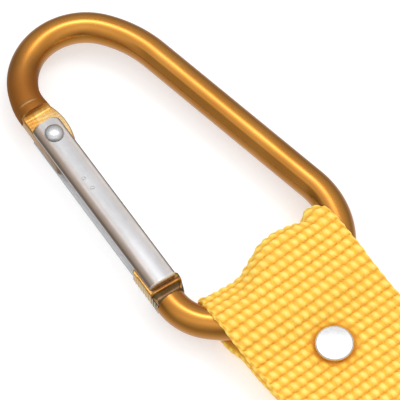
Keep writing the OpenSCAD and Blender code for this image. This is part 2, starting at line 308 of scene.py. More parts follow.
# ---------------------------------------------------------------- shader helpers
class Net:
    """Adds nodes to one shader tree. Wherever a value is taken, a socket is linked instead."""

    def __init__(self, tree):
        self.tree = tree
        tree.nodes.clear()

    def put(self, socket, value):
        if isinstance(value, bpy.types.NodeSocket):
            self.tree.links.new(value, socket)
        elif socket.type == "RGBA" and len(value) == 3:
            socket.default_value = (*value, 1.0)
        else:
            socket.default_value = value

    def fill(self, node, values):
        for name, value in values.items():
            self.put(node.inputs[name], value)

    def new(self, kind, values=None, **settings):
        node = self.tree.nodes.new("ShaderNode" + kind)
        for name, value in settings.items():
            setattr(node, name, value)
        self.fill(node, values or {})
        return node

    def math(self, operation, *values):
        return self.new("Math", dict(enumerate(values)), operation=operation).outputs[0]

    def times(self, a, b):
        return self.math("MULTIPLY", a, b)

    def plus(self, a, b):
        return self.math("ADD", a, b)

    def minus(self, a, b):
        return self.math("SUBTRACT", a, b)

    def scaled(self, source, gain, offset):
        return self.plus(self.times(source, gain), offset)

    def fade(self, source):
        """e to the power of minus source."""
        return self.math("EXPONENT", self.times(source, -1.0))

    def bell(self, source, centre, rate):
        """Soft peak at centre; it falls to 1/e at a distance of 1/rate."""
        away = self.times(self.minus(source, centre), rate)
        return self.fade(self.times(away, away))

    def between(self, source, lo, hi):
        """0 at lo, 1 at hi, clamped outside."""
        values = {"From Min": lo, "From Max": hi, "Value": source}
        return self.new("MapRange", values).outputs[0]

    def mix(self, share, under, over, blend="MIX"):
        # inputs 6 and 7 and output 2 are the colour sockets
        node = self.new("Mix", data_type="RGBA", blend_type=blend)
        self.fill(node, {0: share, 6: under, 7: over})
        return node.outputs[2]

    def tint(self, under, over, by, strength):
        return self.mix(self.times(by, strength), under, over)

    def ramp(self, source, stops):
        node = self.new("ValToRGB", {0: source})
        elements = node.color_ramp.elements
        while len(elements) < len(stops):
            elements.new(0.5)
        for element, (position, colour) in zip(elements, stops):
            element.position = position
            element.color = (*colour, 1.0)
        return node.outputs[0]

    def noise(self, vector, scale, detail=4.0, rough=0.55):
        values = {"Scale": scale, "Detail": detail, "Roughness": rough, "Vector": vector}
        return self.new("TexNoise", values).outputs[0]

    def coords(self, stretch=(1, 1, 1), turn=0.0):
        """Object coordinates, stretched, and turned about Z in radians."""
        place = self.new("TexCoord").outputs["Object"]
        values = {"Vector": place, "Scale": stretch, "Rotation": (0, 0, turn)}
        return self.new("Mapping", values).outputs[0]

    def axes(self, vector):
        return self.new("SeparateXYZ", {0: vector}).outputs

    def painted(self, name, output="Fac"):
        """A mesh attribute."""
        return self.new("Attribute", attribute_name=name).outputs[output]

    def bump(self, shader, height, strength, distance):
        values = {"Strength": strength, "Distance": distance, "Height": height}
        self.fill(shader, {"Normal": self.new("Bump", values).outputs[0]})

    def crevice(self, colour, dark, reach, strength):
        """Painted shade: darkens colour towards dark where nearby surfaces close in."""
        occlusion = self.new("AmbientOcclusion", {"Distance": reach}, samples=6)
        lit = self.between(occlusion.outputs["AO"], lo=0.25, hi=0.85)
        return self.tint(colour, dark, by=self.minus(1.0, lit), strength=strength)


def new_material(name):
    material = bpy.data.materials.new(name)
    material.use_nodes = True
    net = Net(material.node_tree)
    shader = net.new("BsdfPrincipled")
    net.new("OutputMaterial", {"Surface": shader.outputs[0]})
    return material, net, shader


# ---------------------------------------------------------------- materials
# Places and sizes inside the shaders are in the scene's metres.
def rod_lines(net):
    """Fine draw lines that run along the rod."""
    along, around, height = net.axes(net.painted("rod", "Vector"))
    scales = (0.35, 30.0, 1.0)   # noise cells along, around and through the rod
    stretched = net.new("CombineXYZ", {i: net.times(source, scale) for i, (source, scale)
                                       in enumerate(zip((along, around, height), scales))})
    return net.noise(stretched.outputs[0], scale=1.0, detail=5.0, rough=0.6)


def nose_shade_and_highlights(net, base, milled):
    """Painted shadow in a stripe across the nose under the gate's end, painted highlights in streaks
    on its outer wall.
    """
    here = net.new("TexCoord").outputs
    x, y, _ = net.axes(here["Object"])
    _, facing_y, facing_z = net.axes(here["Normal"])
    stripe = net.times(net.bell(x, centre=0.03808, rate=4200.0), milled)
    top = net.times(net.between(facing_z, lo=0.2, hi=0.6), net.between(y, lo=-0.0128, hi=-0.0123))
    base = net.tint(base, (0.085, 0.026, 0.006), by=net.times(stripe, top), strength=0.88)

    streak_rate = 9200.0   # radians per metre of X
    streaks = net.math("SINE", net.times(x, streak_rate), 0.0)
    wall = net.between(net.times(facing_y, -1.0), lo=0.6, hi=0.9)
    streaks = net.times(net.between(streaks, lo=-0.2, hi=0.7), wall)
    streaks = net.times(streaks, net.times(milled, net.between(x, lo=0.0330, hi=0.0338)))
    return net.tint(base, (1.0, 0.84, 0.50), by=streaks, strength=0.7)


def gold():
    material, net, shader = new_material("anodised_gold")
    place = net.coords()
    lines = rod_lines(net)
    # slow drift of the dye
    base = net.ramp(net.noise(place, scale=90.0, detail=3.0),
                    [(0.3, (0.76, 0.300, 0.034)), (0.55, (0.83, 0.345, 0.046)),
                     (0.75, (0.88, 0.395, 0.062))])
    base = net.tint(base, (0.58, 0.21, 0.03), by=lines, strength=0.25)
    # milled flats are brighter and yellower than the rolled rod
    milled = net.painted("milled")
    streak = net.noise(net.coords((1.0, 6.0, 1.0), turn=0.1), scale=260.0, detail=3.0, rough=0.6)
    flat_tone = net.ramp(streak, [(0.25, (0.62, 0.24, 0.035)), (0.5, (0.86, 0.42, 0.08)),
                                  (0.72, (0.97, 0.60, 0.17))])
    base = net.mix(milled, base, flat_tone)
    # painted shade carried by the pieces' mesh attribute
    base = net.mix(1.0, base, net.painted("tone", "Color"), blend="MULTIPLY")
    # the satin end is tinted darker brown as painted shade
    base = net.tint(base, (0.54, 0.215, 0.048), by=net.painted("satin"), strength=0.8)
    # bright wear and painted highlights
    base = net.tint(base, (1.0, 0.83, 0.45), by=net.painted("worn"), strength=0.85)
    base = nose_shade_and_highlights(net, base, milled)
    # painted shade where nearby surfaces close in
    base = net.crevice(base, (0.20, 0.06, 0.01), reach=0.0006, strength=0.75)
    # specks of wear on the crowns of the curves
    crowns = net.new("NewGeometry").outputs["Pointiness"]
    wear = net.noise(place, scale=900.0, detail=6.0, rough=0.7)
    wear = net.times(net.between(wear, lo=0.66, hi=0.72), net.between(crowns, lo=0.50, hi=0.56))
    base = net.mix(wear, base, (0.86, 0.72, 0.5))
    rough = net.plus(net.scaled(lines, gain=0.10, offset=0.17), net.times(milled, 0.06))
    satin = net.painted("satin")
    satin_rough, full_coat = 0.42, 0.45   # the satin end of the rod is rough and has no coat
    net.fill(shader, {
        "Base Color": base,
        "Metallic": 1.0,
        "Roughness": net.plus(rough, net.times(satin, satin_rough)),
        "Coat Weight": net.times(net.minus(1.0, satin), full_coat),
        "Coat Roughness": 0.09,
        "Coat IOR": 1.6,
    })
    # cutter marks across the milled flats, faint draw lines all over
    saw = net.new("TexWave", {"Scale": 480.0, "Distortion": 1.2, "Detail": 2.0,
                              "Vector": net.coords(turn=0.12)}, wave_type="BANDS")
    line_height, saw_height = 0.5, 0.35
    height = net.plus(net.times(lines, line_height),
                      net.times(net.times(saw.outputs["Fac"], milled), saw_height))
    net.bump(shader, height, strength=0.35, distance=0.00004)
    return material


# Painted reflection on the gate's wall, from its outer edge to its inner edge.
WALL_REFLECTION = [
    (0.10, (0.98, 0.86, 0.74)), (0.19, (0.86, 0.72, 0.62)), (0.25, (0.85, 0.77, 0.71)),
    (0.31, (0.87, 0.83, 0.80)), (0.37, (0.95, 0.93, 0.92)), (0.44, (0.99, 0.99, 1.0)),
    (0.58, (0.91, 0.91, 0.93)), (0.67, (0.87, 0.86, 0.87)), (0.75, (0.85, 0.825, 0.82)),
    (0.83, (0.845, 0.79, 0.755)), (0.92, (0.98, 0.90, 0.84)), (1.0, (0.72, 0.64, 0.59)),
]


def gate_shade_and_highlights(net, shader, colour, shoulder):
    """The gate's painted light: painted dark reflection down the shoulder, painted reflection across
    the wall, a pale slot, painted highlights on the rim and lips.
    """
    here = net.new("TexCoord").outputs
    facing_x, facing_y, facing_z = net.axes(here["Normal"])
    x, y, z = net.axes(here["Object"])
    # painted dark reflection, warm brown, down the rolled outer shoulder
    lean = net.times(facing_y, -1.0)
    down = net.times(net.between(lean, lo=0.10, hi=0.62),
                     net.minus(1.0, net.between(lean, lo=0.90, hi=0.985)))
    down = net.times(down, net.between(facing_z, lo=-0.05, hi=0.10))
    colour = net.tint(colour, shoulder, by=down, strength=0.62)
    # painted reflection across the wall, and a painted highlight towards the free end
    wall = net.ramp(net.between(y, lo=-0.0126, hi=-0.0078), WALL_REFLECTION)
    colour = net.mix(net.between(z, lo=0.0, hi=0.0012), colour,
                     net.mix(1.0, colour, wall, blend="MULTIPLY"))
    glow = net.times(net.bell(y, centre=-0.01035, rate=1400.0),
                     net.between(x, lo=0.022, hi=0.033))
    colour = net.tint(colour, (0.90, 0.90, 0.92), by=glow, strength=0.42)
    # inside of the slot and the underside are pale and less metallic, a painted reflection of the
    # white floor
    inner = net.minus(1.0, net.between(net.math("ABSOLUTE", z), lo=0.00126, hi=0.00134))
    low = net.minus(1.0, net.between(z, lo=-0.0016, hi=-0.0011))
    inner = net.math("MAXIMUM", inner, low)
    metal_loss = 0.40
    net.fill(shader, {"Metallic": net.minus(1.0, net.times(inner, metal_loss))})
    # painted highlight on the rim of the free end
    rim = net.times(net.between(facing_x, lo=0.12, hi=0.45), net.between(x, lo=0.0368, hi=0.0372))
    colour = net.tint(colour, (0.97, 0.88, 0.74), by=rim, strength=0.9)
    # painted highlight along the lips
    lip = net.between(lean, lo=0.94, hi=0.99)
    return net.mix(net.math("MAXIMUM", inner, lip), colour, (0.86, 0.86, 0.87))


def bare_metal(name, base, rough, line_scale, bump, stretch=(1, 1, 1), tint=None,
               shoulder=None, crevice_shade=0.0):
    """Brushed metal. tint colours the lines, shoulder adds the gate's painted shade and highlights.
    """
    material, net, shader = new_material(name)
    net.fill(shader, {"Metallic": 1.0})
    fine = net.noise(net.coords(stretch), scale=line_scale, detail=4.0, rough=0.6)
    slow = net.noise(net.coords(), scale=160.0, detail=3.0)
    darker, lighter, line_dark = 0.86, 1.08, 0.72   # shares of the base colour
    colour = net.ramp(slow, [(0.3, tuple(c * darker for c in base)),
                             (0.7, tuple(min(1.0, c * lighter) for c in base))])
    mottle = net.noise(net.coords((0.5, 1, 1)), scale=1500.0, detail=3.0, rough=0.7)
    colour = net.tint(colour, (0.96, 0.96, 0.97), by=net.between(mottle, lo=0.52, hi=0.72),
                      strength=0.16)
    colour = net.tint(colour, tuple(c * line_dark for c in (tint or base)), by=fine, strength=0.16)
    # painted highlight on sharp edges
    edge = net.between(net.new("NewGeometry").outputs["Pointiness"], lo=0.53, hi=0.60)
    colour = net.tint(colour, (0.96, 0.96, 0.96), by=edge, strength=0.6)
    if shoulder:
        colour = gate_shade_and_highlights(net, shader, colour, shoulder)
    # painted crevice shade
    if crevice_shade:
        colour = net.crevice(colour, (0.10, 0.07, 0.05), reach=0.0005, strength=crevice_shade)
    slow_rough = 0.05
    roughness = net.plus(net.scaled(fine, gain=0.16, offset=rough), net.times(slow, slow_rough))
    net.fill(shader, {"Base Color": colour, "Roughness": roughness})
    net.bump(shader, fine, strength=bump, distance=0.00003)
    return material


def webbing():
    material, net, shader = new_material("yellow_webbing")
    # the colour follows the weave: painted shade in its gaps, painted highlight on its crowns
    colour = net.ramp(net.painted("weave"), [(0.0, (0.70, 0.20, 0.008)), (0.25, (0.83, 0.39, 0.022)),
                                             (0.55, (0.92, 0.59, 0.060)), (1.0, (0.99, 0.80, 0.20))])
    patch = net.noise(net.coords(), scale=260.0, detail=4.0, rough=0.6)
    colour = net.tint(colour, (0.90, 0.44, 0.035), by=net.between(patch, lo=0.35, hi=0.75),
                      strength=0.30)
    yarn = net.noise(net.coords((1.0, 0.45, 1.0)), scale=5200.0, detail=3.0, rough=0.6)
    colour = net.tint(colour, (1.0, 0.78, 0.28), by=net.between(yarn, lo=0.45, hi=0.8),
                      strength=0.25)
    # painted shade where nearby surfaces close in
    colour = net.crevice(colour, (0.72, 0.20, 0.008), reach=0.0011, strength=0.55)
    net.fill(shader, {
        "Base Color": colour,
        "Roughness": 0.62,
        "Specular IOR Level": 0.35,
        "Sheen Weight": 0.25,
        "Sheen Roughness": 0.4,
        "Sheen Tint": (1.0, 0.85, 0.45),
        "Subsurface Weight": 0.12,
        "Subsurface Radius": (1.0, 0.5, 0.1),
        "Subsurface Scale": 0.0006,
    })
    net.bump(shader, yarn, strength=0.5, distance=0.00006)
    return material


MAT = {
    "gold": gold(),
    # gate: the shoulder colour is a painted dark reflection; the last number sets its painted crevice
    # shade
    "gate": bare_metal("gate_aluminium", (0.60, 0.60, 0.61), rough=0.26, line_scale=3800.0,
                       bump=0.22, stretch=(0.05, 1, 1), tint=(0.66, 0.58, 0.50),
                       shoulder=(0.42, 0.33, 0.27), crevice_shade=0.30),
    "pin": bare_metal("pin_aluminium", (0.86, 0.86, 0.87), rough=0.14, line_scale=2500.0,
                      bump=0.10, crevice_shade=0.8),
    "spring": bare_metal("spring_wire", (0.60, 0.60, 0.62), rough=0.25, line_scale=3000.0,
                         bump=0.2, stretch=(0.05, 1, 1)),
    "cap": bare_metal("nickel_cap", (0.98, 0.98, 0.98), rough=0.16, line_scale=2000.0, bump=0.03),
    "ring": bare_metal("nickel_ring", (0.80, 0.80, 0.81), rough=0.14, line_scale=2500.0,
                       bump=0.10, stretch=(1, 1, 0.3)),
    "web": webbing(),
}

# ---------------------------------------------------------------- rod centreline
# Bends as (radius, turn in degrees, points), all turning clockwise.
BOW_BENDS = [(BOW_R, 22.0, 40), (BOW_R, 118.0, 70), (20.0, 27.5, 26)]
END_BENDS = [(13.8, 107.0, 70), (21.0, 38.5, 36)]
END_BENDS.append((8.3, 360.0 - sum(bend[1] for bend in BOW_BENDS + END_BENDS), 26))


def move(radius, heading, amount):
    """Step along a bend of amount degrees, or a straight of amount mm where radius is None."""
    start = math.radians(heading)
    if radius is None:
        return amount * np.array([math.cos(start), math.sin(start)])
    end = math.radians(heading - amount)
    return radius * np.array([math.sin(start) - math.sin(end), math.cos(end) - math.cos(start)])


def travel(bends, heading):
    """Total step and last heading of a row of bends."""
    total = np.zeros(2)
    for radius, turn, _ in bends:
        total = total + move(radius, heading, turn)
        heading -= turn
    return total, heading


def rod_line():
    """The rod's centreline from hinge to nose, and its heading in degrees at each point."""
    bow, spine_heading = travel(BOW_BENDS, 180.0)
    end, _ = travel(END_BENDS, spine_heading)
    # the spine is as long as it takes to bring the nose to its place in Y
    spine = (-NOSE_DROP - bow[1] - end[1]) / math.sin(math.radians(spine_heading))
    toe_x = SHOULDER - LEAD + bow[0] + move(None, spine_heading, spine)[0] + end[0]
    stretches = [(None, LEAD, 12), *BOW_BENDS, (None, spine, 70), *END_BENDS,
                 (None, toe_x - NOSE_X, 3)]
    points, headings = [], []
    at, heading = np.array([SHOULDER, 0.0]), 180.0
    for radius, amount, count in stretches:
        for k in range(count):
            points.append(at + move(radius, heading, amount * k / count))
            headings.append(heading if radius is None else heading - amount * k / count)
        at = at + move(radius, heading, amount)
        if radius is not None:
            heading -= amount
    points.append(np.array([NOSE_X, -NOSE_DROP]))
    headings.append(-180.0)
    return np.array(points), np.array(headings)


LINE, HEADINGS = rod_line()


# ---------------------------------------------------------------- hook
def rod_stations():
    """(centre, heading, radius, run) along the rod, with eased rims at both milled shoulders."""
    stations = [(point, heading, ROD_R, run)
                for point, heading, run in zip(LINE, HEADINGS, run_length(LINE))]

    def rim(station, ahead, pulled_in):
        centre, heading, radius, run = station
        return centre + move(None, heading, ahead), heading, radius - pulled_in, run + ahead

    eases = [(0.0, 0.14), (0.04, 0.05), (0.12, 0.0)]
    head = [rim(stations[0], ahead, pulled_in) for ahead, pulled_in in eases]
    tail = [rim(stations[-1], -ahead, pulled_in) for ahead, pulled_in in reversed(eases)]
    return head + stations[2:-1] + tail


def build_rod(count=120):
    angle = np.arange(count) * 2 * math.pi / count
    degrees = np.degrees(angle)
    across, up = np.cos(angle), np.sin(angle)
    # flat the bending tool leaves along the spine
    flat_centre, flat_half = 139.5, 13.5
    in_flat = np.abs(degrees - flat_centre) <= flat_half + 0.1
    flat_r = (ROD_R * math.cos(math.radians(flat_half))
              / np.cos(np.radians(np.where(in_flat, degrees - flat_centre, 0))))
    flat = np.where(in_flat, flat_r - ROD_R, 0.0)
    burrs = (0.030 * np.exp(-((degrees - 123.0) / 2.4) ** 2)
             + 0.022 * np.exp(-((degrees - 156.0) / 2.6) ** 2))
    rings, lines, shade_values, satins, worn = [], [], [], [], []
    for centre, heading, station_r, run in rod_stations():
        heading = math.radians(heading)
        side = np.array([-math.sin(heading), math.cos(heading), 0.0])
        # small forging nick across the crown just behind the hinge
        from_nick = run - 1.42 - 0.10 * across
        nick = np.exp(-(from_nick / 0.10) ** 2) - 0.9 * np.exp(-((from_nick + 0.20) / 0.13) ** 2)
        window = np.clip(up, 0, 1) ** 2 * np.exp(-((across - 0.18) / 0.52) ** 4)
        radius = station_r + 0.07 * nick * window
        # the rod widens sideways towards the hinge
        flare = 1 - float(smooth(0.0, 4.5, run))
        radius = radius + flare * np.abs(across) ** 1.5 * np.where(across < 0, 0.30, 0.22)
        on_spine = float(smooth(29.0, 34.0, run) * (1 - smooth(69.0, 76.0, run)))
        radius = radius + on_spine * (flat + burrs)
        rings.append(np.array([centre[0], centre[1], 0.0]) + np.outer(radius * across, side)
                     + np.outer(radius * up, [0, 0, 1.0]))
        lines.append(np.column_stack([np.full(count, run), angle / (2 * math.pi) * 2.2, up]))
        # painted shade: the rod darkens towards the hinge
        shade_values.append(np.full(count, 0.60 + 0.40 * float(smooth(8.0, 13.0, run))))
        # the end near the hinge is satin: rougher and uncoated, and its darker brown is painted shade
        satins.append(np.full(count, 1 - float(smooth(4.5, 12.5, run))))
        # a bright line along the nick
        worn.append(0.95 * np.exp(-((from_nick - 0.03) / 0.085) ** 2) * window)
    rod = normals_out(skin("rod", rings))
    milled = np.zeros(len(rings) * count)
    milled[:count] = milled[-count:] = 1.0
    attribute(rod, "rod", np.concatenate(lines), "FLOAT_VECTOR")
    attribute(rod, "milled", milled)
    attribute(rod, "tone", np.concatenate(shade_values))
    attribute(rod, "satin", np.concatenate(satins))
    attribute(rod, "worn", np.concatenate(worn))
    return rod


def hinge_outline():
    """Hinge tongue: two rounded corners at its tip, then a wide arc back to the rod."""
    radius, back_x = 0.8, -6.0
    outer, inner = np.array([5.0 - radius, -ROD_R + radius]), np.array([1.35, 1.98])
    slope = (inner - outer) / np.linalg.norm(inner - outer)
    lean = math.degrees(math.atan2(-slope[0], slope[1]))
    points = [(back_x, -ROD_R), (outer[0], -ROD_R)]
    points += arc(outer, (radius, radius), -90.0, lean, 10, first=1)
    points += arc(inner, (radius, radius), lean, 78, 8)
    crown_x, crown_y, crown_r = -1.7, -6.95, 10.2
    start = points[-1][0]
    for k in range(1, 25):
        x = start + (back_x - start) * k / 24
        y = crown_y + math.sqrt(crown_r ** 2 - (x - crown_x) ** 2)
        points.append((x, min(y, points[-1][1] + 0.2)))
    return np.array(points)


TOOTH_RATE = 9.2   # radians per mm of X along the nose's outer wall


def nose_outline():
    start, stop, end = GATE_LEN - 5.4, 1.05, NOSE_X + 0.3
    outer = -ROD_R - NOSE_DROP + 0.1
    steps = 8
    # x, y, corner radius
    outline = round_poly([
        (start, outer, 0.9), (end, outer, 0), (end, 1.6, 0.0), (33.5, 2.0, 0.3),
        (31.9, 2.72, 0.3), (30.5, 2.85, 0.6), (30.4, stop + 0.5, 0.15), (start + 1.9, stop, 0.5),
    ], steps)
    # fine steps the cutter leaves along the outer wall, after the first corner
    corner = steps + 1
    x = np.linspace(outline[corner - 1][0] + 0.06, 32.6, 110)
    y = outer + 0.030 * (1 + np.sin(x * TOOTH_RATE)) + 0.012 * np.sin(x * 23.0)
    return np.concatenate([outline[:corner], np.column_stack([x, y]), outline[corner:]])


def loft(name, stations, count=10):
    """Skin over rounded rectangles (x, low y, high y, half height, corner radius) across X."""
    rings = []
    for x, low, high, half, radius in stations:
        radius = min(radius, half * 0.98, (high - low) * 0.49)
        left, right, top = low + radius, high - radius, half - radius
        ring = []
        for y, z, start in ((right, top, 0), (left, top, 90), (left, -top, 180),
                            (right, -top, 270)):
            ring += [(x, *point) for point in arc((y, z), (radius, radius), start, start + 90, count)]
        rings.append(ring)
    return normals_out(skin(name, rings))


def hinge_ramp():
    """Cutter's run-out between the round rod and the hinge tongue."""
    cutter_x, cutter_r, full_height = -4.65, 0.97, 2.17
    edge = ROD_R - 0.02
    stations = []
    for k in range(13):
        x = -5.70 + 1.08 * k / 12
        half = full_height
        if x > -5.62:
            half -= math.sqrt(max(0.0, cutter_r ** 2 - (min(x, cutter_x) - cutter_x) ** 2))
        half = max(half, TONGUE + 0.02)
        chord = math.sqrt(max(0.0, ROD_R ** 2 - min(half, 2.3) ** 2))
        radius = max(0.2, min(edge - chord, half * 0.9))
        stations.append((x, -edge, edge + 0.10 * k / 12, half, radius))
    return loft("hinge_ramp", stations)


# Low rib across the nose with the slope that falls away behind it:
# x, low y, high y, half height, corner radius.
NOSE_RAMP = [
    (31.70, -2.96, 2.60, 1.22, 0.6), (31.80, -2.98, 2.66, 1.58, 0.8),
    (31.90, -3.00, 2.68, 1.78, 0.9), (32.00, -3.00, 2.68, 1.86, 0.9),
    (32.12, -3.00, 2.66, 1.82, 0.9), (32.24, -3.01, 2.62, 1.62, 0.9),
    (32.60, -3.02, 2.50, 1.36, 0.8), (33.10, -3.03, 2.34, 1.22, 0.8),
    (33.55, -3.04, 2.16, 1.30, 0.8), (33.95, -3.04, 1.95, 1.40, 0.8),
]


def paint_flat(flat):
    """Painted shade, wear and painted highlight attributes of a milled piece."""
    count = len(flat.data.vertices)
    place = np.array([vert.co for vert in flat.data.vertices]) / MILLIMETRE + BOW_CENTRE
    x, y, z = place.T
    tone, worn = np.ones(count), np.zeros(count)
    if flat.name.startswith("nose"):
        # painted shade in the notch and on the lobe beside the gate's corner
        tone = (1 - 0.84 * smooth(32.10, 32.26, x)
                - 0.72 * smooth(1.9, 2.3, y) * (1 - smooth(31.5, 31.8, x)))
        # painted shade on the tongue at the gate's end, on its outer side
        tone = tone - (0.45 * (1 - smooth(31.62, 31.85, x)) * smooth(30.9, 31.3, x)
                       * smooth(-2.6, -2.2, y))
        # painted shadow in a strip under the gate's end
        tone = tone - 0.55 * np.exp(-((x - 31.55) / 0.16) ** 2) * smooth(-2.5, -2.2, y)
    if flat.name == "nose_flat":
        # painted highlights on the crests of the steps of the outer wall
        worn = (0.75 * (0.5 + 0.5 * np.sin(x * TOOTH_RATE)) * (1 - smooth(-2.95, -2.75, y))
                * smooth(26.3, 26.9, x) * (1 - smooth(31.6, 32.1, x)))
    if flat.name == "hinge_flat":
        # painted shade towards the tongue's tip
        tone = 1 - 0.75 * smooth(3.0, 4.6, x)
        # painted highlight where the cam of the hinge shows past the gate
        worn = (0.7 * smooth(2.40, 2.85, y) * smooth(-4.6, -3.4, x)
                * (1 - smooth(1.6, 2.6, x)))
    attribute(flat, "milled", np.ones(count))
    attribute(flat, "tone", np.clip(tone, 0.10, 1.0))
    attribute(flat, "satin", np.zeros(count))
    attribute(flat, "worn", worn)
    attribute(flat, "rod", np.column_stack([y, x, z]), "FLOAT_VECTOR")


def build_hook():
    rod = build_rod()
    hinge = plate("hinge_flat", hinge_outline(), TONGUE, ease=0.28, steps=5)
    nose = plate("nose_flat", nose_outline(), TONGUE, ease=0.16, steps=4)
    flats = [hinge, nose, hinge_ramp(), loft("nose_ramp", NOSE_RAMP)]
    cut(hinge, cylinder("bore", (0, 0, 0), (0, 0, 1), PIN_R + 0.03, 8, 64))
    cut(hinge, cylinder("seat", (5.0, SPRING_Y, 0), (1, 0, 0), 0.45, 6, 40))
    for flat in flats:
        normals_out(flat)
        paint_flat(flat)
    for piece in [rod] + flats:
        dress(piece, 38, MAT["gold"])
    return join("hook_rod", [rod] + flats)


hook = build_hook()
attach(hook, "hook")
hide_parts("hook_body")

# ---------------------------------------------------------------- gate
GATE_OUTER, GATE_INNER = -2.55, 2.2   # Y of the channel's sides
GATE_HALF = 2.45                      # half height in Z
GATE_BACK = 2.70                      # reach behind the pin
SLOT = 1.25                           # half height of the slot, open to the outer side
WEB_Y = 1.1                           # slot floor
SHOULDER_RADII = (1.5, 0.92)          # rolled outer shoulder, in Y and Z
INNER_R = 0.35                        # round of the inner edges


def gate_section():
    """Closed outline of the channel in (Y, Z), starting at the lower lip."""
    shoulder = (GATE_OUTER + SHOULDER_RADII[0], -GATE_HALF + SHOULDER_RADII[1])
    corner = (GATE_INNER - INNER_R, -GATE_HALF + INNER_R)
    lower = [(WEB_Y - 0.12, -SLOT), (GATE_OUTER + 0.24, -SLOT), (GATE_OUTER + 0.06, -SLOT - 0.03),
             (GATE_OUTER + 0.01, -SLOT - 0.08), (GATE_OUTER, -SLOT - 0.14)]
    lower += arc(shoulder, SHOULDER_RADII, 180, 270, 18)
    lower += [(shoulder[0] + (corner[0] - shoulder[0]) * k / 14, -GATE_HALF) for k in range(1, 14)]
    lower += arc(corner, (INNER_R, INNER_R), 270, 360, 6)
    wall = [(GATE_INNER, corner[1] - 2 * corner[1] * k / 12) for k in range(1, 12)]
    upper = [(y, -z) for y, z in reversed(lower)]
    web = [(WEB_Y - 0.03, SLOT - 0.04), (WEB_Y, SLOT - 0.14), (WEB_Y, 0.0),
           (WEB_Y, -SLOT + 0.14), (WEB_Y - 0.03, -SLOT + 0.04)]
    return np.array(lower + wall + upper + web)


def gate_pulls(x):
    """How far the channel's outer, inner and top edges pull in at station x."""
    def pull(distance, radius):
        if distance >= radius:
            return 0.0
        return radius - math.sqrt(max(0.0, radius * radius - (radius - distance) ** 2))

    head, tail = x + GATE_BACK, GATE_LEN - x
    return (max(pull(head, 0.60), pull(tail, 0.50)), max(pull(head, 0.95), pull(tail, 0.40)),
            pull(tail, 0.42))


def punch_marks():
    """Two ringed punch marks on both walls."""
    profile = [(0.0, 0.006), (0.13, 0.008), (0.20, 0.040), (0.26, 0.045), (0.33, 0.018),
               (0.37, -0.01), (0.0, -0.05)]   # radius, height over the wall
    marks = []
    for centre in ((9.46, -0.55), (11.6, -0.36)):
        for side in (-1, 1):
            mark = lathe("mark", [(r, side * (GATE_HALF + z)) for r, z in profile], 28, centre)
            dress(mark, 60, MAT["gate"])
            marks.append(mark)
    return marks


def build_gate():
    section_y, section_z = gate_section().T
    depth = np.abs(section_z)
    head, tail = 1.6, 0.5   # lengths of the rounded ends
    stations = [-GATE_BACK + head * (1 - math.cos(math.pi / 2 * k / 16)) for k in range(17)]
    stations += list(np.linspace(-GATE_BACK + head, GATE_LEN - tail, 40)[1:])
    stations += [GATE_LEN - tail * (1 - math.sin(math.pi / 2 * k / 8)) for k in range(1, 9)]
    rings = []
    for x in stations:
        outer, inner, top = gate_pulls(x)
        low, high = GATE_OUTER + outer, GATE_INNER - inner
        y = low + (section_y - GATE_OUTER) / (GATE_INNER - GATE_OUTER) * (high - low)
        squeezed = SLOT + (depth - SLOT) * (GATE_HALF - top - SLOT) / (GATE_HALF - SLOT)
        z = np.sign(section_z) * np.where(depth > SLOT, squeezed, depth)
        rings.append(np.column_stack([np.full(len(y), x), y, z]))
    channel = normals_out(skin("gate_channel", rings))
    bevel = channel.modifiers.new("ease", "BEVEL")
    bevel.width = 0.13 * MILLIMETRE
    bevel.segments = 3
    bevel.limit_method = "ANGLE"
    bevel.angle_limit = math.radians(55)
    apply_modifiers(channel)
    cut(channel, block("cut_hinge", (-GATE_BACK - 1, WEB_Y - 0.5, -SLOT),
                       (3.2, GATE_INNER + 1, SLOT)))
    cut(channel, block("cut_nose", (GATE_LEN - 1, WEB_Y - 0.5, -SLOT),
                       (GATE_LEN + 2, GATE_INNER + 1, SLOT)))
    cut(channel, cylinder("hole", (0, 0, 0), (0, 0, 1), PIN_R + 0.01, 8, 64))
    dress(channel, 34, MAT["gate"])
    return join("gate_channel", [channel] + punch_marks())


gate = build_gate()
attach(gate, "gate")
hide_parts("gate")


# ---------------------------------------------------------------- gate pin and spring
def build_pin():
    """Straight shank with a domed head on each wall of the gate."""
    head_r, rim, dome = 1.525, 0.16, 0.66
    seat = GATE_HALF + 0.01
    head = [(head_r - 0.055, 0.0), (head_r, 0.06), (head_r, rim)]
    for k in range(1, 21):
        radius = head_r * math.cos(math.pi / 2 * k / 20)
        head.append((radius, rim + dome * (1 - (radius / head_r) ** 2.5) ** 0.62))
    upper = [(PIN_R, seat)] + [(radius, seat + z) for radius, z in head]
    lower = [(radius, -z) for radius, z in reversed(upper)]
    obj = lathe("gate_pin", lower + upper, 72)
    dress(obj, 40, MAT["pin"])
    return obj


pin = build_pin()
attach(pin, "gate")
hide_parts("gate_rivet")


def build_spring(radius=0.4, count=20):
    """Straight wire from the seat in the hinge tongue into the gate."""
    angle = 2 * math.pi * np.arange(count) / count
    rings = [np.column_stack([np.full(count, x), SPRING_Y - radius * np.cos(angle),
                              radius * np.sin(angle)]) for x in np.linspace(2.12, 14.1, 80)]
    obj = normals_out(skin("gate_spring_wire", rings))
    dress(obj, 45, MAT["spring"])
    return obj


spring = build_spring()
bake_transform(spring)
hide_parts("gate_spring")

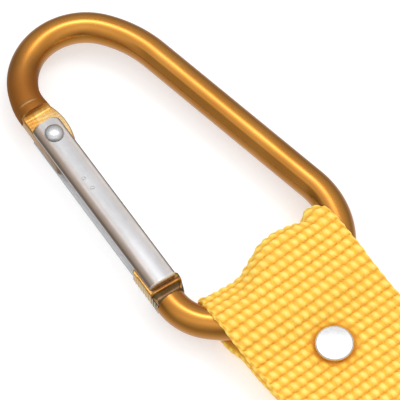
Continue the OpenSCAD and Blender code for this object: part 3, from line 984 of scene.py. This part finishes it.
# ---------------------------------------------------------------- webbing strap
STRAP_Y = 15.2965
STRAP_HALF = 12.5            # half width
PLY = 0.6                    # half thickness
RIVET_X, RING_RIVET_X = 54.3827, 80.6827
RIVETS = (("strap_rivet", RIVET_X, 0.50), ("ring_rivet", RING_RIVET_X, 0.0))  # X, Y off the middle
RING_X = 103.2827
LOOP_END = 99.07             # outermost X of the loop around the split ring
LOOP_R = 2.06                # round of that loop, at mid thickness
FOLD_HALF = 3.16             # half height of the fold around the rod, at mid thickness
REST = 0.63                  # half gap between the plies where they lie together
CUT_FOLD, CUT_LOOP = 67.13, 68.73   # X of the two cut ends on the underside
ROW_PITCH, FLOAT_PITCH = 1.70, 1.50   # ribs along the strap, raised yarns across it

# Outermost point of the fold inside the hook: Y, X.
CREST = np.array([
    (2.0, 35.7), (2.8, 36.0), (6.2, 36.3), (9.0, 36.5), (11.0, 36.2), (13.2, 35.2),
    (16.5, 33.5), (19.3, 33.1), (22.1, 33.5), (23.6, 34.0), (24.6, 34.1), (25.4, 33.2),
    (26.2, 32.5), (27.0, 32.5), (28.0, 33.3),
])
# Sideways drift in Y of the upper ply and of the underside's fold ply: X, drift.
UPPER_DRIFT = np.array([(36, 0), (42, 0.08), (45.6, 0.25), (49, 0.75), (53, 1.10), (57, 1.15),
                        (62, 1.10), (72, 0.6), (84, 0)])
UNDER_DRIFT = np.array([(36, 0), (40, 0.28), (44.4, 0.6), (47.5, 1.15), (51, 1.35), (55, 1.80),
                        (60, 1.85), (68, 1.7)])


def crest_x(y):
    """X of the fold's crest at y, smoothed over 1 mm to either side."""
    offsets = np.linspace(-1.0, 1.0, 15)
    weights = np.exp(-(offsets / 0.5) ** 2)
    return sum(np.interp(y + a, *CREST.T) * b for a, b in zip(offsets, weights)) / weights.sum()


def rod_x(y):
    """X of the rod's centreline in the wide end."""
    tip = np.argmax(LINE[:, 0])
    points = LINE[tip - 60:tip + 70]
    order = np.argsort(points[:, 1])
    return np.interp(y, points[order, 1], points[order, 0])


def ply_path(y, across):
    """(X, Z) of the strip's middle surface at one place across it, and the crest's index."""
    crest = crest_x(y) + PLY
    depth = 5.9 - 2.7 * smooth(7.0, 15.0, y)
    crown = 0.55 * rod_x(y) + 0.45 * 45.6
    buckle = 0.30 * math.exp(-((y - 17.5) / 5.0) ** 2) - 0.12 * math.exp(-((y - 8.0) / 3.5) ** 2)

    def height(x, side):
        """Height of the upper (1) or lower (-1) ply off mid height."""
        z = REST + (FOLD_HALF - REST) * (1 - smooth(crown + 0.2, 51.9, x))
        puff = 0.16 * smooth(57.5, 63.0, x) * (1 - smooth(73.0, 78.5, x))
        z = z + puff * (1 - 0.3 * (across / STRAP_HALF) ** 2)
        z = z + (LOOP_R - REST) * smooth(83.6, 87.2, x)
        hump = buckle * np.exp(-((x - (crest + depth + 0.8)) / 3.0) ** 2)
        return z + (hump if side > 0 else 0.2 * hump)

    fold_x = crest + depth
    x = np.linspace(CUT_FOLD, fold_x, 300)
    under_fold = np.column_stack([x, -height(x, -1)])

    angle = np.radians(np.linspace(-90, 90, 90)[1:-1])
    cosine, sine = np.cos(angle), np.sin(angle)
    power = 2 / (1.36 + 0.64 * float(smooth(8.0, 15.0, y)))
    reach = np.where(angle < 0, height(fold_x, -1), height(fold_x, 1))
    fold = np.column_stack([fold_x - depth * cosine ** power,
                            reach * np.sign(sine) * np.abs(sine) ** power])

    loop_x = LOOP_END - PLY - 0.15 * math.cos(across / STRAP_HALF * math.pi) - LOOP_R
    x = np.linspace(fold_x, loop_x, 560)
    upper = np.column_stack([x, height(x, 1)])

    angle = np.radians(np.linspace(90, -90, 60)[1:-1])
    loop = np.column_stack([loop_x + LOOP_R * np.cos(angle), LOOP_R * np.sin(angle)])

    x = np.linspace(loop_x, CUT_LOOP, 260)
    under_loop = np.column_stack([x, -height(x, -1)])
    path = np.concatenate([under_fold, fold, upper, loop, under_loop])
    return path, len(under_fold) + len(fold) // 2


def strap_surface(across, count):
    """Middle surface as (across, along, XYZ), and the run at each point from the first rivet."""
    plies = []
    for offset in across:
        path, crest = ply_path(STRAP_Y + offset, offset)
        run = run_length(path)
        rivet = run[crest + np.argmin(np.abs(path[crest:crest + 400, 0] - RIVET_X))]
        mark = run[np.argmin(np.abs(path[:250, 0] - 53.0))]
        plies.append((path, run, run[crest], rivet, mark))
    # ribs on the underside line up across the strap from X = 53 on
    level = float(np.mean([mark - rivet for *_, rivet, mark in plies]))
    middle = np.zeros((len(across), count, 3))
    runs = np.zeros((len(across), count))
    for j, (offset, (path, run, crest, rivet, mark)) in enumerate(zip(across, plies)):
        at = np.linspace(run[0], run[-1], count)
        x = np.interp(at, run, path[:, 0])
        even = crest - rivet + (at - crest) * (level - crest + rivet) / (mark - crest)
        runs[j] = np.where(at < mark, level + at - mark, np.where(at < crest, even, at - rivet))
        # the fold is narrower than the strap
        near = np.exp(-((at - crest) / 3.2) ** 2)
        low, high = STRAP_Y - STRAP_HALF + 0.25 * near, STRAP_Y + STRAP_HALF - 0.95 * near
        y = low + (offset + STRAP_HALF) / (2 * STRAP_HALF) * (high - low)
        # both plies run a little askew because the fold is not quite square
        drift = np.where(at < crest, np.interp(x, *UNDER_DRIFT.T), np.interp(x, *UPPER_DRIFT.T))
        middle[j] = np.column_stack([x, y + drift, np.interp(at, run, path[:, 1])])
    return middle, runs


def relax(middle, across):
    """Sagging edges on the underside and the slow unevenness of a used strap."""
    x, y = middle[:, :, 0], middle[:, :, 1]
    edge = (smooth(3.0, 12.5, np.abs(across)) * np.where(across < 0, 1.0, 0.6))[:, None]
    sag = smooth(46.0, 52.0, x) * (1 - smooth(59.0, 66.0, x))
    middle[:, :, 2] -= 1.9 * edge * sag * (middle[:, :, 2] < 0)
    z = middle[:, :, 2]
    wave = 0.05 * np.sin(x * 0.55 + y * 0.31 + 1.0) + 0.04 * np.sin(x * 0.23 - y * 0.47 + 2.0)
    free = smooth(51, 60, x) * (1 - smooth(76, 84, x))
    middle[:, :, 2] += (wave * (0.4 + 0.6 * free) * np.where(z > 0, 1, -1)
                        * smooth(0.3, 0.6, np.abs(z)))


def strap_normals(middle):
    """Unit normals pointing out of the closed strap."""
    normals = np.cross(np.gradient(middle, axis=1), np.gradient(middle, axis=0))
    normals /= np.maximum(np.linalg.norm(normals, axis=2), 1e-9)[:, :, None]
    x = middle[:, :, 0]
    outward = np.zeros_like(middle)
    outward[:, :, 0] = np.where(x < 45, x - 45, np.where(x > 90, x - 90, 0)) * 0.6
    outward[:, :, 2] = middle[:, :, 2]
    return normals * np.sign((normals * outward).sum(2).sum())


def weave(across, along):
    """Weave height: raised yarns in ribs across the strap, half-sunk yarns between them."""
    best = np.zeros(across.shape)
    along = along + 0.075 * across
    nearest_rib = np.round(along / ROW_PITCH)
    for next_rib in (-1, 0, 1):
        rib = nearest_rib + next_rib
        stagger = np.where(np.mod(rib, 2) == 0, 0.0, 0.5)
        off_rib = along - rib * ROW_PITCH
        crown = np.maximum(0, 1 - np.abs(off_rib / 0.84) ** 2.0) ** 0.66
        # pitch offset, level and half width of the raised and the half-sunk yarns
        for offset, level, width in ((0.0, 1.0, 0.56), (0.5, 0.50, 0.38)):
            nearest = np.round(across / FLOAT_PITCH - stagger - offset)
            for next_yarn in (-1, 0, 1):
                yarn = (nearest + next_yarn + stagger + offset) * FLOAT_PITCH
                off_yarn = np.abs(across - yarn - 0.22 * off_rib) / width
                top = 0.10 + 0.90 * np.maximum(0, 1 - off_yarn ** 2.4) ** 0.55
                best = np.maximum(best, level * crown * np.where(off_yarn < 1, top, 0.10))
    return best


def build_strap(along=640, outer_rows=113, inner_rows=15):
    across = np.linspace(-STRAP_HALF, STRAP_HALF, outer_rows)
    middle, runs = strap_surface(across, along)
    relax(middle, across)
    normals = strap_normals(middle)
    relief = weave(np.repeat(across[:, None], along, 1), runs)
    # flattened where a rivet's cap bears on it, and painted shade around the cap
    press, shade = np.ones_like(relief), np.ones_like(relief)
    for _, x, shift in RIVETS:
        reach = np.hypot(middle[:, :, 0] - x, middle[:, :, 1] - STRAP_Y - shift)
        press = np.minimum(press, 0.12 + 0.88 * smooth(2.9, 4.0, reach))
        shade = shade * (1 - 0.80 * np.exp(-((reach - 3.2) / 0.75) ** 2))
    lift = PLY - 0.30 + 0.48 * relief * press + 0.02 * (1 - press)
    outer = middle + normals * lift[:, :, None]
    # inner face, coarser across
    picked = np.round(np.linspace(0, outer_rows - 1, inner_rows)).astype(int)
    inner = middle[picked] - normals[picked] * (PLY - 0.06)
    verts = [outer.reshape(-1, 3), inner.reshape(-1, 3)]
    # the weave values pick the colour: painted shade in the weave's gaps, around the caps, between
    # the edge loops and on the inner face
    shade_values = [(relief * shade).reshape(-1), np.full(inner_rows * along, 0.35)]
    inner_base = outer_rows * along
    edge_base = inner_base + inner_rows * along
    faces = grid_faces(outer_rows, along)
    faces += grid_faces(inner_rows, along, flip=True, base=inner_base)
    # rounded edges with the loops of the weft showing, painted shade between the loops
    edge_angles = (60, 25, -15, -55)
    edge_rows = len(edge_angles)
    base = edge_base
    for side, outer_row, inner_row in ((-1, 0, 0), (1, outer_rows - 1, inner_rows - 1)):
        phase = 0.25 if side > 0 else 0.0
        loops = 0.5 + 0.5 * np.cos(2 * math.pi * (runs[outer_row] / ROW_PITCH + phase))
        for angle in edge_angles:
            out, up = math.cos(math.radians(angle)), math.sin(math.radians(angle))
            line = middle[outer_row] + normals[outer_row] * ((PLY - 0.10) * up)
            line[:, 1] += side * (0.30 * out + 0.12 * loops * out)
            verts.append(line)
            shade_values.append(0.25 + 0.55 * loops)
        starts = [outer_row * along] + [base + k * along for k in range(edge_rows)]
        starts.append(inner_base + inner_row * along)
        for a, b in zip(starts[:-1], starts[1:]):
            for i in range(along - 1):
                quad = (a + i, a + i + 1, b + i + 1, b + i)
                faces.append(quad if side > 0 else quad[::-1])
        base += edge_rows * along
    # heat-cut ends
    for i in (0, along - 1):
        ring = [j * along + i for j in range(outer_rows)]
        ring += [edge_base + (edge_rows + k) * along + i for k in range(edge_rows)]
        ring += [inner_base + j * along + i for j in reversed(range(inner_rows))]
        ring += [edge_base + k * along + i for k in reversed(range(edge_rows))]
        faces.append(tuple(ring) if i else tuple(reversed(ring)))
    obj = normals_out(make("webbing_strap", np.concatenate(verts), faces))
    attribute(obj, "weave", np.clip(np.concatenate(shade_values), 0, 1))
    obj.data.materials.append(MAT["web"])
    return obj


strap = build_strap()
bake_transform(strap)
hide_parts("strap")

# ---------------------------------------------------------------- strap rivets
STRAP_FACE = 1.22   # Z of the webbing's face under a cap
CAP_R = 3.0
RIM_RADII = (0.38, 0.26)   # rolled rim, across and up


def cap_profile(side):
    """Flat-topped cap with a rolled rim, standing on the webbing."""
    flat_r, rim_z = CAP_R - RIM_RADII[0], 0.30
    rim_top = rim_z + RIM_RADII[1]
    points = [(CAP_R - 0.10, 0.0), (CAP_R, 0.05), (CAP_R, rim_z)]
    points += arc((flat_r, rim_z), RIM_RADII, 0, 90, 8, first=1)
    points += [(r, rim_top + 0.12 * (1 - (r / flat_r) ** 2)) for r in (2.2, 1.7, 1.2, 0.6)]
    points.append((0.0, rim_top + 0.12))
    return [(radius, side * (STRAP_FACE + z)) for radius, z in points]


RIVET_PROFILES = {
    "cap": [(0.0, STRAP_FACE + 0.38), (1.22, STRAP_FACE + 0.38), (1.22, STRAP_FACE)]
           + cap_profile(1),
    "post": cap_profile(-1)[::-1]
            + [(1.2, -STRAP_FACE), (1.2, STRAP_FACE + 0.34), (0.0, STRAP_FACE + 0.34)],
}

for label, rivet_x, rivet_shift in RIVETS:
    for kind, profile in RIVET_PROFILES.items():
        piece = lathe(f"{label}_{kind}_piece", profile, 96, (rivet_x, STRAP_Y + rivet_shift))
        dress(piece, 40, MAT["cap"])
        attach(piece, "strap")
        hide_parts(f"{label}_{kind}")


# ---------------------------------------------------------------- split ring
def build_ring():
    """Flat wire wound almost twice, climbing from the lower turn to the upper in one crossing."""
    radius, half_width, half_height, corner = 15.0, 1.0, 0.62, 0.32
    start, cross_start, cross_end, end = 20, 364, 378, 714   # degrees
    half_climb = 0.67
    section = round_poly([(-half_width, -half_height, corner), (half_width, -half_height, corner),
                          (half_width, half_height, corner), (-half_width, half_height, corner)], 5)
    degrees = np.concatenate([np.linspace(start, cross_start, 220)[:-1],
                              np.linspace(cross_start, cross_end, 26)[:-1],
                              np.linspace(cross_end, end, 220)])
    rings = []
    for angle in degrees:
        # both ends of the wire are eased over a short stretch
        to_end, ease_over = min(abs(angle - start), abs(angle - end)), 1.2
        size = 0.86 + 0.14 * math.sqrt(to_end / ease_over) if to_end < ease_over else 1.0
        out = radius + section[:, 0] * size
        z = -half_climb + 2 * half_climb * smooth(cross_start, cross_end, angle)
        turn = math.radians(angle)
        rings.append(np.column_stack([RING_X + out * math.cos(turn), STRAP_Y + out * math.sin(turn),
                                      z + section[:, 1] * size]))
    obj = normals_out(skin("split_ring_coil", rings))
    dress(obj, 50, MAT["ring"])
    return obj


ring = build_ring()
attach(ring, "ring")
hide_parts("split_ring")

# ---------------------------------------------------------------- floor
# the floor lies just under the lowest thread of the strap
FLOOR_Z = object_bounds()[0][2] - 0.01 * MILLIMETRE
bpy.ops.mesh.primitive_plane_add(size=6.0, location=(0.05, 0, FLOOR_Z))
floor = bpy.context.object
floor.name = "floor"
floor_material, floor_net, floor_shader = new_material("floor_white")
floor_net.fill(floor_shader, {
    "Base Color": (0.74, 0.735, 0.735),
    "Emission Color": (1.0, 1.0, 1.0),
    "Emission Strength": 0.40,
    "Roughness": 0.9,
    "Specular IOR Level": 0.1,
})
floor.data.materials.append(floor_material)
floor.visible_glossy = False

# ---------------------------------------------------------------- camera and key light
GATE_HEADING = math.radians(-56.1923)        # the gate's direction as the camera sees it
PIN_AT = np.array([-22.90653, 10.62337])     # the pin right of and away from the view's centre, mm
CAMERA_ELEVATION = math.radians(61)
CAMERA_DISTANCE = 546.875                    # mm


def from_view(point):
    """A point given right, away and up from the view's centre in mm, in the scene."""
    along = np.array([math.cos(GATE_HEADING), math.sin(GATE_HEADING)])
    across = np.array([-along[1], along[0]])
    offset = np.array(point[:2]) - PIN_AT
    return Vector(metres((float(offset @ along), float(offset @ across), point[2]))[0])


def view_direction(point):
    return (from_view(point) - from_view((0, 0, 0))).normalized()


def add_to_scene(name, data, location, looking):
    """Places a camera or light so that it looks along a direction."""
    obj = bpy.data.objects.new(name, data)
    bpy.context.scene.collection.objects.link(obj)
    obj.location = location
    obj.rotation_euler = looking.to_track_quat("-Z", "Y").to_euler()
    return obj


target = from_view((0, 0, 0))
eye = from_view((0, -math.cos(CAMERA_ELEVATION) * CAMERA_DISTANCE,
                 math.sin(CAMERA_ELEVATION) * CAMERA_DISTANCE))
lens = bpy.data.cameras.new("camera")
lens.lens = 315.0
lens.sensor_width = 36.0
lens.clip_start = 0.05
lens.clip_end = 20.0
bpy.context.scene.camera = add_to_scene("camera", lens, eye, target - eye)

KEY_DISTANCE = 1.2   # metres
key_way = view_direction((0.42, 0.34, 0.84))
lamp = bpy.data.lights.new("key", "AREA")
lamp.energy = 3.2
lamp.size = 0.55
key = add_to_scene("key", lamp, target + key_way * KEY_DISTANCE, -key_way)
key.visible_glossy = False


# ---------------------------------------------------------------- world
def sky_blob(net, *bells):
    """Soft bell in the sky from (sky axis, centre, spread) entries."""
    total = None
    for source, centre, spread in bells:
        away = net.math("DIVIDE", net.minus(source, centre), spread)
        square = net.times(away, away)
        total = square if total is None else net.plus(total, square)
    return net.fade(total)


def mirror_sky(net, right, away, up):
    """A softbox overhead with dark surroundings, for the metals to reflect."""
    upper = net.between(up, lo=-0.02, hi=0.06)
    dome = net.scaled(net.between(up, lo=0.05, hi=1.0), gain=0.42, offset=0.28)
    below = net.scaled(net.between(net.times(up, -1.0), lo=0.15, hi=0.85), gain=0.36, offset=0.28)
    # each blob's brightness, then centre and spread along the sky's axes
    strip, core, near, dark_near, dark_left = (
        net.times(sky_blob(net, *bells), brightness) for brightness, *bells in (
            (0.72, (right, 0.0, 0.50), (away, 0.20, 0.24)),
            (3.4, (right, 0.0, 0.22), (away, 0.30, 0.11)),
            (0.26, (right, -0.05, 0.9), (away, -0.46, 0.24)),
            (-0.20, (right, 0.10, 0.25), (away, -0.92, 0.25), (up, 0.28, 0.22)),
            (-0.22, (right, -1.0, 0.35), (away, -0.15, 0.5), (up, 0.1, 0.35)),
        ))
    above = net.plus(net.plus(net.plus(dome, strip), near),
                     net.plus(core, net.plus(dark_near, dark_left)))
    return net.plus(net.times(above, upper), net.times(below, net.minus(1.0, upper)))


def build_world():
    """Three skies: pale for the camera, even for cloth and floor, a mirror sky for metals."""
    world = bpy.data.worlds.new("studio")
    bpy.context.scene.world = world
    world.use_nodes = True
    world.cycles.sampling_method = "NONE"
    net = Net(world.node_tree)
    sky = net.new("TexCoord").outputs["Generated"]
    directions = (view_direction((1, 0, 0)), view_direction((0, 1, 0)), (0, 0, 1))
    right, away, up = (
        net.new("VectorMath", {0: sky, 1: direction}, operation="DOT_PRODUCT").outputs["Value"]
        for direction in directions)
    even = net.scaled(net.between(up, lo=-0.1, hi=0.8), gain=0.32, offset=0.78)
    rays = net.new("LightPath").outputs

    def pick(flag, yes, no):
        return net.plus(net.times(flag, yes), net.times(net.minus(1.0, flag), no))

    camera_sky = 0.97
    amount = pick(rays["Is Glossy Ray"], mirror_sky(net, right, away, up), even)
    amount = pick(rays["Is Camera Ray"], camera_sky, amount)
    background = net.new("Background", {"Color": amount, "Strength": 1.0})
    net.new("OutputWorld", {"Surface": background.outputs[0]})


build_world()

view = bpy.context.scene.view_settings
view.view_transform = "Standard"
view.look = "None"
view.exposure = 0.0
